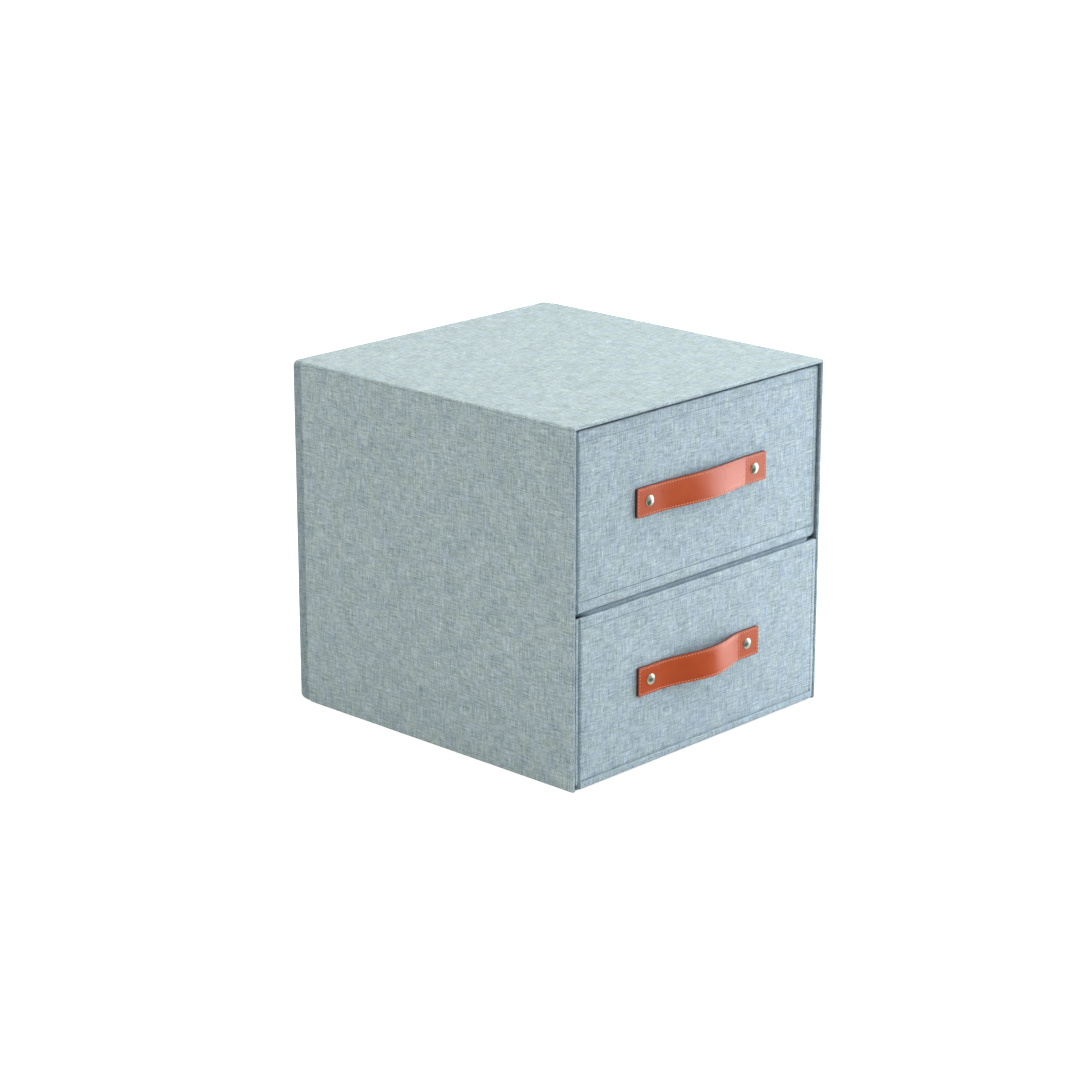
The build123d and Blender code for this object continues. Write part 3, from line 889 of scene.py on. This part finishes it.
def ply(strap, name, low, high, channel, node):
    """One leather ply: rounded in section, with dark cut sides."""
    near = [0.02, 0.15, 0.4, 0.7, 1.0, 1.5]
    stations = [strap.left + k * STRAP_CORNER_R for k in near]
    stations += spaced(strap.left + 2 * STRAP_CORNER_R, strap.right - 2 * STRAP_CORNER_R, PLY_STEP)
    stations += [strap.right - k * STRAP_CORNER_R for k in reversed(near)]
    sections = [ply_section(strap.half_width(x), low, high, channel) for x in stations]
    rings = [
        [strap.place(x, w, h) for w, h, _ in section] for x, section in zip(stations, sections)]
    points, faces = loft(rings, cap_first=True, cap_last=True)
    leather_ply = made(
        name, points, faces, [LEATHER, LEATHER_EDGE, CHANNEL_SHADE_LEATHER],
        strap.body, [node], sharp=80)
    edges = [edge for _, _, edge in sections[0]]
    size = len(edges)
    side = 2 * len(arc(3))  # points of a section in one of its cut sides
    for face in leather_ply.data.polygons:
        is_end = len(face.vertices) > 4
        if is_end or all(edges[v % size] for v in face.vertices):
            face.material_index = 1
            # painted shade: darker leather on the channel floors
            if not is_end and side < face.vertices[0] % size < size - side - 1:
                face.material_index = 2


def strap_stitches(strap):
    """The thread round a strap's face, and across it beside the right tab."""
    points, faces = [], []
    height = 2 * PLY - STITCH_SUNK
    half = strap.width / 2 - STITCH_INSET
    ends = (strap.left + STITCH_INSET, strap.right - STITCH_INSET)

    def along(w):
        return lambda k: (strap.place(ends[0] + (ends[1] - ends[0]) * k, w, height), FORWARD)

    def over(x):
        return lambda k: (strap.place(x, -half + 2 * half * k, height), FORWARD)

    lines = [along(-half), along(half), over(ends[0]), over(ends[1])]
    lines.append(over(strap.rivets[1] - CROSS_AT))
    for line in lines:
        stitch_row(points, faces, line, STITCH_PITCH, STITCH_LENGTH, STITCH_THREAD)
    made(strap.prefix + "_strap_thread", points, faces, [STRAP_THREAD], strap.body)


def turned(profile, middle, out):
    """Rings round an axis through middle: profile is (radius, height) along out."""
    across = out.orthogonal().normalized()
    other = out.cross(across)
    rings = []
    for radius, height in profile:
        rings.append([
            middle + out * height
            + (across * math.cos(t) + other * math.sin(t)) * radius
            for t in full_turn(RIVET_SIDES)])
    return loft(rings, cap_first=True, cap_last=True)


def rivets(strap):
    """Domed caps with a rolled rim on the strap, and flat flanges inside the drawer."""
    rise = CAP_H - CAP_RIM
    dome_r = (CAP_R ** 2 + rise ** 2) / (2 * rise)
    half_angle = math.asin((CAP_R - 0.45 * CAP_RIM) / dome_r)
    dome = [
        (dome_r * math.sin(half_angle * k), CAP_H - dome_r * (1 - math.cos(half_angle * k)))
        for k in (1.0, 0.85, 0.7, 0.55, 0.4, 0.25, 0.1, 0.02)]
    cap = [(CAP_R - 0.2 * MM, -0.05 * MM), (CAP_R, 0.15 * MM), (CAP_R, 0.35 * MM)] + dome
    flange = [(FLANGE_R - 0.15 * MM, 0.0), (FLANGE_R, 0.15 * MM), (FLANGE_R, 0.5 * MM),
              (FLANGE_R - 0.3 * MM, 0.75 * MM), (1.2 * MM, 0.8 * MM), (1.0 * MM, 0.55 * MM)]
    points, faces = [], []
    for x in strap.rivets:
        outside = Vector((x, strap.front - 2 * PLY, strap.middle.z))
        inside = Vector((x, strap.front + WALL, strap.middle.z))
        add(points, faces, *turned(cap, outside, FORWARD))
        add(points, faces, *turned(flange, inside, BACKWARD))
    made(strap.prefix + "_rivet_caps", points, faces, [NICKEL], strap.body,
         [strap.prefix + "_rivets"], sharp=60)


for prefix, crown, twist, soft in (
        ("upper", 3 * MM, 0.4, 0.35),
        ("lower", 8 * MM, 0.25, 0.5)):
    strap = Strap(prefix, crown, twist, soft)
    ply(strap, prefix + "_strap_back", 0.0, PLY, 0.0, prefix + "_handle_backing")
    ply(strap, prefix + "_strap_face", PLY, 2 * PLY, CHANNEL_DEPTH, prefix + "_handle_strap")
    strap_stitches(strap)
    rivets(strap)

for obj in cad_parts.values():
    obj.data.materials.clear()
    obj.data.materials.append(BOARD)


# ---- stage, light and camera -----------------------------------------------------------------
def white_to_rays(tree):
    """1 for camera, glossy and transmission rays, and 0 for the rest."""
    nodes, links = tree.nodes, tree.links
    rays = nodes.new("ShaderNodeLightPath")
    total = nodes.new("ShaderNodeMath")
    total.operation = "ADD"
    links.new(rays.outputs["Is Camera Ray"], total.inputs[0])
    links.new(rays.outputs["Is Glossy Ray"], total.inputs[1])
    every = nodes.new("ShaderNodeMath")
    every.operation = "ADD"
    every.use_clamp = True
    links.new(total.outputs[0], every.inputs[0])
    links.new(rays.outputs["Is Transmission Ray"], every.inputs[1])
    return every.outputs[0]


def make_world(level):
    """White for the camera and in the gloss, and a cool light of this level on the piece."""
    world = bpy.data.worlds.new("studio")
    world.use_nodes = True
    bpy.context.scene.world = world
    tree = world.node_tree
    background = tree.nodes["Background"]
    white = tree.nodes.new("ShaderNodeBackground")
    white.inputs["Strength"].default_value = 1.0
    white.inputs["Color"].default_value = (1, 1, 1, 1)
    background.inputs["Color"].default_value = (0.96, 0.98, 1.0, 1)
    background.inputs["Strength"].default_value = level
    mix = tree.nodes.new("ShaderNodeMixShader")
    tree.links.new(white_to_rays(tree), mix.inputs[0])
    tree.links.new(background.outputs[0], mix.inputs[1])
    tree.links.new(white.outputs[0], mix.inputs[2])
    tree.links.new(mix.outputs[0], tree.nodes["World Output"].inputs["Surface"])


def make_floor(size, lift):
    """A pale floor. A light of its own, that only camera and gloss see, brings it up to white."""
    mesh = bpy.data.meshes.new("floor")
    corners = [(-size, -size, 0), (size, -size, 0), (size, size, 0), (-size, size, 0)]
    mesh.from_pydata(corners, [], [(0, 1, 2, 3)])
    obj = bpy.data.objects.new("floor", mesh)
    bpy.context.scene.collection.objects.link(obj)
    material = bpy.data.materials.new("floor")
    material.use_nodes = True
    tree = material.node_tree
    bsdf = tree.nodes["Principled BSDF"]
    bsdf.inputs["Base Color"].default_value = (0.82, 0.82, 0.82, 1)
    bsdf.inputs["Roughness"].default_value = 0.9
    bsdf.inputs["Specular IOR Level"].default_value = 0.0
    bsdf.inputs["Emission Color"].default_value = (1, 1, 1, 1)
    strength = tree.nodes.new("ShaderNodeMath")
    strength.operation = "MULTIPLY"
    tree.links.new(white_to_rays(tree), strength.inputs[0])
    strength.inputs[1].default_value = lift
    tree.links.new(strength.outputs[0], bsdf.inputs["Emission Strength"])
    mesh.materials.append(material)


def make_lamp(name, place, aim, size, power, colour):
    """A rectangular lamp at a place, turned to its aim."""
    data = bpy.data.lights.new(name, "AREA")
    data.shape = "RECTANGLE"
    data.size, data.size_y = size
    data.energy = power
    data.color = colour
    obj = bpy.data.objects.new(name, data)
    obj.location = place
    obj.rotation_mode = "QUATERNION"
    obj.rotation_quaternion = (Vector(aim) - Vector(place)).to_track_quat("-Z", "Y")
    bpy.context.scene.collection.objects.link(obj)


def make_card(name, corners, glow):
    """A studio card that only gloss sees: black, or with a glow."""
    mesh = bpy.data.meshes.new(name)
    mesh.from_pydata(corners, [], [tuple(range(len(corners)))])
    obj = bpy.data.objects.new(name, mesh)
    bpy.context.scene.collection.objects.link(obj)
    material = bpy.data.materials.new(name)
    material.use_nodes = True
    bsdf = material.node_tree.nodes["Principled BSDF"]
    bsdf.inputs["Base Color"].default_value = (0.01, 0.01, 0.01, 1)
    bsdf.inputs["Specular IOR Level"].default_value = 0.0
    bsdf.inputs["Emission Color"].default_value = (1, 1, 1, 1)
    bsdf.inputs["Emission Strength"].default_value = glow
    mesh.materials.append(material)
    obj.visible_camera = False
    obj.visible_diffuse = False
    obj.visible_shadow = False


def floor_sector(begin, end, near, far, z):
    """A sector of floor before the front, between two bearings in degrees to its right."""
    corners = []
    for reach, bearings in ((near, (begin, end)), (far, (end, begin))):
        for bearing in bearings:
            turn = math.radians(bearing)
            corners.append((reach * math.sin(turn), CASE_LO.y - reach * math.cos(turn), z))
    return corners


def make_camera():
    """The photo's camera: CAMERA_DISTANCE from the case's middle, and shifted sideways and up."""
    turn, pitch = CAMERA_AZIMUTH, CAMERA_PITCH
    right = Vector((math.cos(turn), math.sin(turn), 0))
    back = Vector((
        math.sin(turn) * math.cos(pitch), -math.cos(turn) * math.cos(pitch), math.sin(pitch)))
    up = back.cross(right)
    centre = Vector((0, 0, CASE_H / 2))
    data = bpy.data.cameras.new("camera")
    data.sensor_width = CAMERA_SENSOR
    data.lens = CAMERA_LENS
    obj = bpy.data.objects.new("camera", data)
    obj.location = centre + back * CAMERA_DISTANCE + right * CAMERA_RIGHT + up * CAMERA_UP
    obj.rotation_mode = "QUATERNION"
    obj.rotation_quaternion = (-back).to_track_quat("-Z", "Y")
    bpy.context.scene.collection.objects.link(obj)
    bpy.context.scene.camera = obj


make_world(level=0.4)
make_floor(size=12.0, lift=0.7)
make_lamp("window", place=(1.05, -0.62, 0.5), aim=(0, -0.15, 0.15), size=(0.9, 1.0),
          power=16.6, colour=(0.93, 1.0, 1.11))
make_lamp("top", place=(0.1, 0.0, 1.8), aim=(0, 0, 0.3), size=(1.6, 1.6),
          power=20.5, colour=(1.0, 0.99, 0.86))
make_lamp("left", place=(-1.5, 0.1, 1.45), aim=(-0.15, 0, 0.2), size=(1.2, 1.2),
          power=10.5, colour=(1.0, 0.97, 0.84))
make_card("bright_card", floor_sector(58, 92, near=0.36, far=1.6, z=1 * MM), glow=5.6)
make_card("dark_card", floor_sector(-30, 50, near=0.1, far=2.2, z=1 * MM), glow=0.2)
make_card("flag", [(-1.5, -0.9, 0.5), (-0.3, -1.6, 0.5), (-0.3, -1.6, 1.7), (-1.5, -0.9, 1.7)],
          glow=0.1)
make_camera()
bpy.context.scene.view_settings.view_transform = "Standard"
